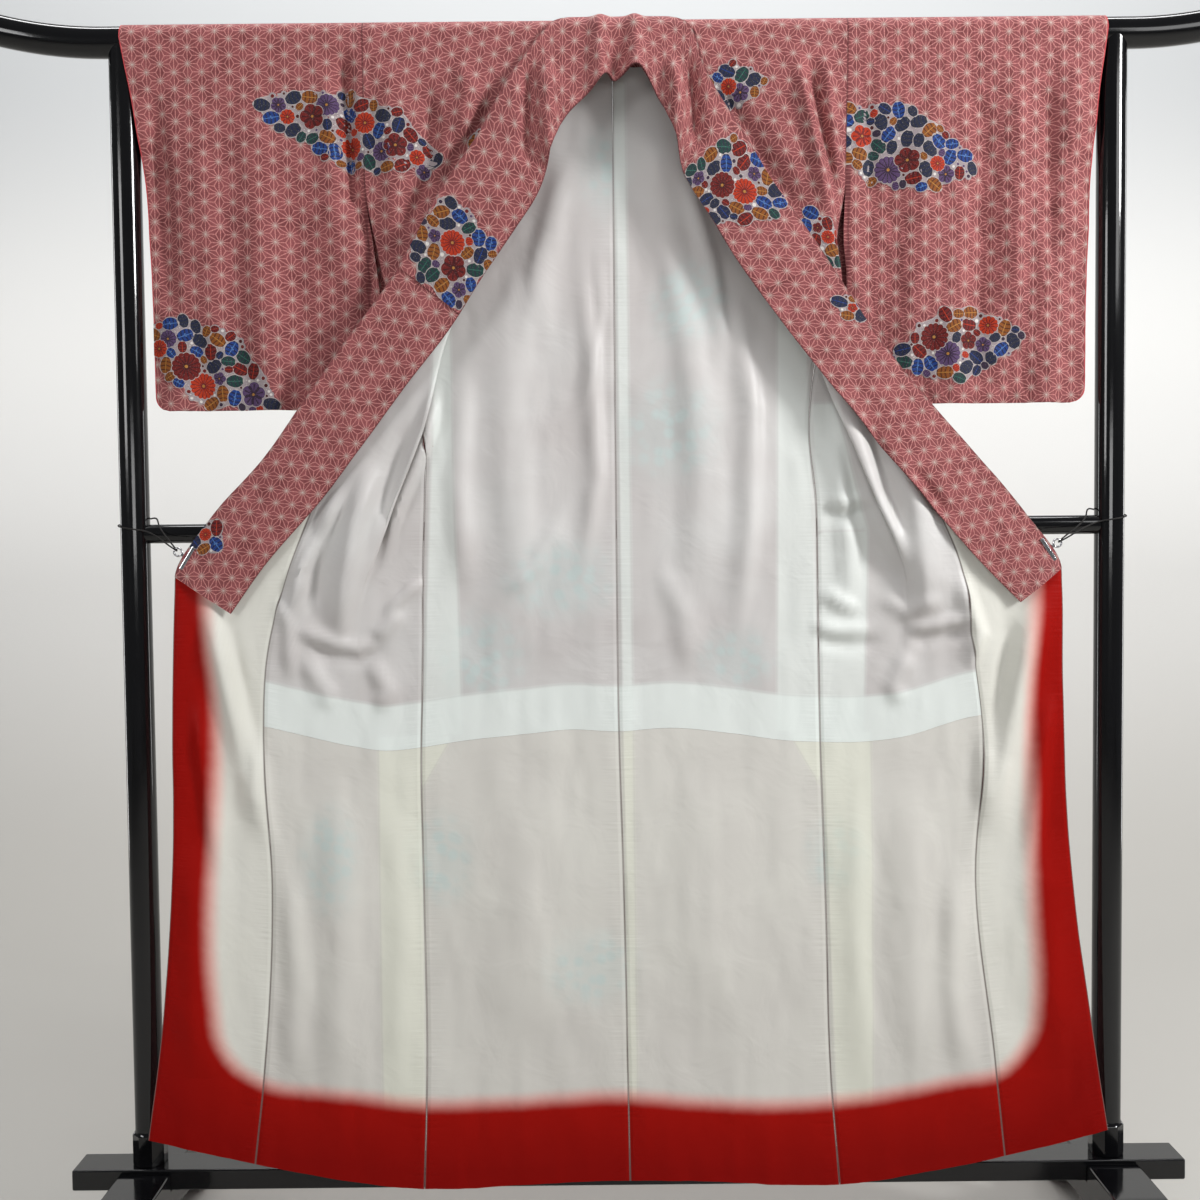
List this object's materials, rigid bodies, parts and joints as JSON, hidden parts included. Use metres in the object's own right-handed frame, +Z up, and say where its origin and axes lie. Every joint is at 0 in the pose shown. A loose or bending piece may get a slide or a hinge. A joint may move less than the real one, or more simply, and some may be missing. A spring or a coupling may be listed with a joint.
{
  "type": "komon kimono on a kimono stand",
  "caption": "Lined crepe kimono with a small all-over pattern, opened out from the front on a black lacquered kimono stand that carries it by the shoulders",
  "frame": {"origin": "on the floor, in the middle under the stand, at the centre of the base of its bounding box", "axes": "+X along the rail, to the viewer's right as one looks at the garment's opened front; +Y away from the opened front; +Z up"},
  "size_m": [1.852, 0.46, 1.7642],
  "materials": {
    "crepe": "dusty rose crepe with a hemp-leaf repeat and flower patches",
    "lining": "thin white plain-weave silk",
    "skirt_lining": "thin silk, white shading into red at the hem and the front edges",
    "lacquer": "black gloss lacquer",
    "chrome": "polished",
    "elastic": "black braided elastic"
  },
  "bodies": {
    "root": {"beam": "lacquer", "body_left": "crepe", "body_right": "crepe", "clip_left": "chrome", "clip_right": "chrome", "collar": "crepe", "crossbar": "lacquer", "foot_left": "lacquer", "foot_right": "lacquer", "hakkake_back_left": "skirt_lining", "hakkake_back_right": "skirt_lining", "hakkake_front_left": "skirt_lining", "hakkake_front_right": "skirt_lining", "hakkake_okumi_left": "skirt_lining", "hakkake_okumi_right": "skirt_lining", "lining_back_left": "lining", "lining_back_right": "lining", "lining_front_left": "lining", "lining_front_right": "lining", "okumi_left": "crepe", "okumi_right": "crepe", "over_collar": "crepe", "post_left": "lacquer", "post_right": "lacquer", "rail": "lacquer", "sleeve_left": "crepe", "sleeve_right": "crepe", "tie_left": "elastic", "tie_right": "elastic"}
  },
  "joints": []
}
